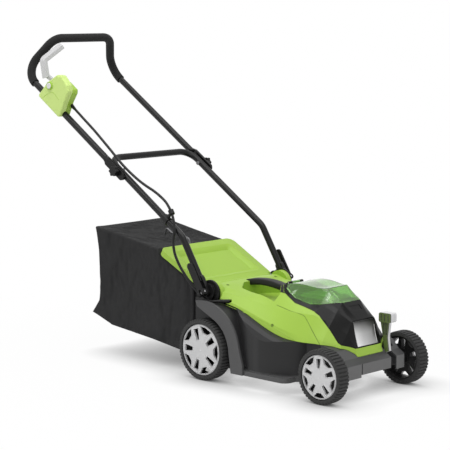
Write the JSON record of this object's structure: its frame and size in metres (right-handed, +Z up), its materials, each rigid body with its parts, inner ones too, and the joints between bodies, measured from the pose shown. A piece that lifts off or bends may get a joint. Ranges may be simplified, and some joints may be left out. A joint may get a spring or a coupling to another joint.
{
  "type": "push lawn mower",
  "caption": "Battery push lawn mower: wheeled deck with a spinning blade, hinged battery lid, rear flap, pull-off grass bag and folding tubular handle with foam grip and squeeze bail.",
  "frame": {"origin": "on the ground, in the middle of the wheels' width, 151 mm behind the rear wheels' centres", "axes": "+X the way it is pushed, +Y its left side, +Z up"},
  "size_m": [1.3086, 0.4143, 0.9815],
  "materials": {
    "deck_grey": "textured satin",
    "housing_grey": "satin",
    "lime": "satin",
    "lid_green": "translucent gloss",
    "cowl_black": "gloss",
    "trim_silver": "satin metallic",
    "black_plastic": "satin",
    "tyre": "ribbed",
    "wheel_black": "satin",
    "hubcap_grey": "satin",
    "steel": "zinc plated",
    "motor_metal": "cast",
    "tube_black": "satin black",
    "foam": "matt foam",
    "bag_cloth": "woven",
    "battery_case": "satin",
    "cable": "satin",
    "white_plastic": "satin",
    "lever_green": "ribbed"
  },
  "bodies": {
    "mower": {"deck": "deck_grey", "front_housing": "housing_grey", "motor": "motor_metal", "top_cover": "lime", "cable_grommet": "black_plastic", "front_cowl": "cowl_black", "front_trim": "trim_silver", "lid_pin": "steel", "battery_bay": "black_plastic", "controller": "motor_metal", "carry_handle": "black_plastic", "bracket_right": "black_plastic", "bracket_left": "black_plastic", "flap_rod": "steel", "cable_lower": "cable"},
    "front_axle": {"front_axle": "steel", "height_lever": "lever_green", "height_knob": "lever_green"},
    "rear_axle": {"rear_axle": "steel"},
    "height_link": {"height_link": "steel"},
    "rotor": {"rotor_shaft": "steel", "blade_holder": "motor_metal", "blade": "steel", "blade_bolt": "steel"},
    "lid": {"battery_lid": "lid_green"},
    "battery": {"battery_pack": "battery_case"},
    "flap": {"discharge_flap": "lime"},
    "bag": {"bag_fabric": "bag_cloth", "bag_frame": "black_plastic", "bag_handle": "steel"},
    "lower_handle": {"lower_handle": "tube_black", "pivot_bolt_right": "steel", "pivot_bolt_left": "steel", "handle_bolt_right": "steel", "handle_bolt_left": "steel", "cable_clip": "black_plastic", "cable_upper": "cable"},
    "cam_right": {"cam_lever_right": "black_plastic"},
    "cam_left": {"cam_lever_left": "black_plastic"},
    "upper_handle": {"upper_handle": "tube_black", "foam_grip": "foam", "switch_box_outer": "lime", "switch_box_inner": "lime"},
    "knob_right": {"handle_knob_right": "black_plastic"},
    "knob_left": {"handle_knob_left": "black_plastic"},
    "bail": {"bail_lever": "white_plastic"},
    "button": {"push_button": "white_plastic"},
    "front_wheel_right": {"front_tyre_right": "tyre", "front_wheel_right": "wheel_black", "front_hubcap_right": "hubcap_grey"},
    "front_wheel_left": {"front_tyre_left": "tyre", "front_wheel_left": "wheel_black", "front_hubcap_left": "hubcap_grey"},
    "rear_wheel_right": {"rear_tyre_right": "tyre", "rear_wheel_right": "wheel_black", "rear_hubcap_right": "hubcap_grey"},
    "rear_wheel_left": {"rear_tyre_left": "tyre", "rear_wheel_left": "wheel_black", "rear_hubcap_left": "hubcap_grey"}
  },
  "joints": [
    {"name": "height_setting", "type": "hinge", "parent": "mower", "child": "front_axle", "pos_m": [0.55153, 0, 0.09037], "axis": [0, -1, 0], "range_deg": [-35, 0]},
    {"name": "rear_axle_turn", "type": "hinge", "parent": "mower", "child": "rear_axle", "pos_m": [0.11153, 0, 0.10336], "axis": [0, -1, 0], "range_deg": [-35, 0]},
    {"name": "link_turn", "type": "hinge", "parent": "front_axle", "child": "height_link", "pos_m": [0.55153, 0.105, 0.13736], "axis": [0, -1, 0], "range_deg": [0, 35]},
    {"name": "front_wheel_right_roll", "type": "hinge", "parent": "front_axle", "child": "front_wheel_right", "pos_m": [0.591, -0.176, 0.076], "axis": [0, 1, 0], "continuous": true},
    {"name": "front_wheel_left_roll", "type": "hinge", "parent": "front_axle", "child": "front_wheel_left", "pos_m": [0.591, 0.176, 0.076], "axis": [0, 1, 0], "continuous": true},
    {"name": "rear_wheel_right_roll", "type": "hinge", "parent": "rear_axle", "child": "rear_wheel_right", "pos_m": [0.151, -0.184, 0.089], "axis": [0, 1, 0], "continuous": true},
    {"name": "rear_wheel_left_roll", "type": "hinge", "parent": "rear_axle", "child": "rear_wheel_left", "pos_m": [0.151, 0.184, 0.089], "axis": [0, 1, 0], "continuous": true},
    {"name": "blade_spin", "type": "hinge", "parent": "mower", "child": "rotor", "pos_m": [0.351, 0, 0.05], "axis": [0, 0, 1], "continuous": true},
    {"name": "lid_open", "type": "hinge", "parent": "mower", "child": "lid", "pos_m": [0.333, 0, 0.284], "axis": [0, -1, 0], "range_deg": [0, 75]},
    {"name": "battery_lift", "type": "slide", "parent": "mower", "child": "battery", "axis": [0, 0, 1], "range_m": [0, 0.008]},
    {"name": "flap_lift", "type": "hinge", "parent": "mower", "child": "flap", "pos_m": [0.11, 0, 0.262], "axis": [0, 1, 0], "range_deg": [0, 55]},
    {"name": "bag_pull", "type": "slide", "parent": "mower", "child": "bag", "axis": [-1, 0, 0], "range_m": [0, 0.35]},
    {"name": "handle_fold", "type": "hinge", "parent": "mower", "child": "lower_handle", "pos_m": [0.141, 0, 0.252], "axis": [0, 1, 0], "range_deg": [0, 110], "deforming": ["cable_lower"]},
    {"name": "upper_fold", "type": "hinge", "parent": "lower_handle", "child": "upper_handle", "pos_m": [-0.219, 0, 0.579], "axis": [0, -1, 0], "range_deg": [-140, 0], "deforming": ["cable_upper"]},
    {"name": "cam_right_turn", "type": "hinge", "parent": "lower_handle", "child": "cam_right", "pos_m": [0.141, -0.186, 0.252], "axis": [0.8471, 0, 0.5315], "range_deg": [0, 95]},
    {"name": "cam_left_turn", "type": "hinge", "parent": "lower_handle", "child": "cam_left", "pos_m": [0.141, 0.186, 0.252], "axis": [-0.8471, 0, -0.5315], "range_deg": [0, 95]},
    {"name": "knob_right_turn", "type": "hinge", "parent": "lower_handle", "child": "knob_right", "pos_m": [-0.219, -0.197, 0.579], "axis": [0, 1, 0], "continuous": true},
    {"name": "knob_left_turn", "type": "hinge", "parent": "lower_handle", "child": "knob_left", "pos_m": [-0.219, 0.197, 0.579], "axis": [0, 1, 0], "continuous": true},
    {"name": "bail_squeeze", "type": "hinge", "parent": "upper_handle", "child": "bail", "pos_m": [-0.5145, -0.17, 0.8332], "axis": [0, -1, 0], "range_deg": [0, 12], "stiffness_Nm_per_rad": 1, "springref_deg": -5.73},
    {"name": "button_press", "type": "slide", "parent": "upper_handle", "child": "button", "axis": [0, 1, 0], "range_m": [0, 0.004], "stiffness_N_per_m": 300, "springref_m": -0.002}
  ],
  "couplings": [
    {"joint": "rear_axle_turn", "follows": "height_setting", "ratio": 1},
    {"joint": "link_turn", "follows": "height_setting", "ratio": -1}
  ]
}
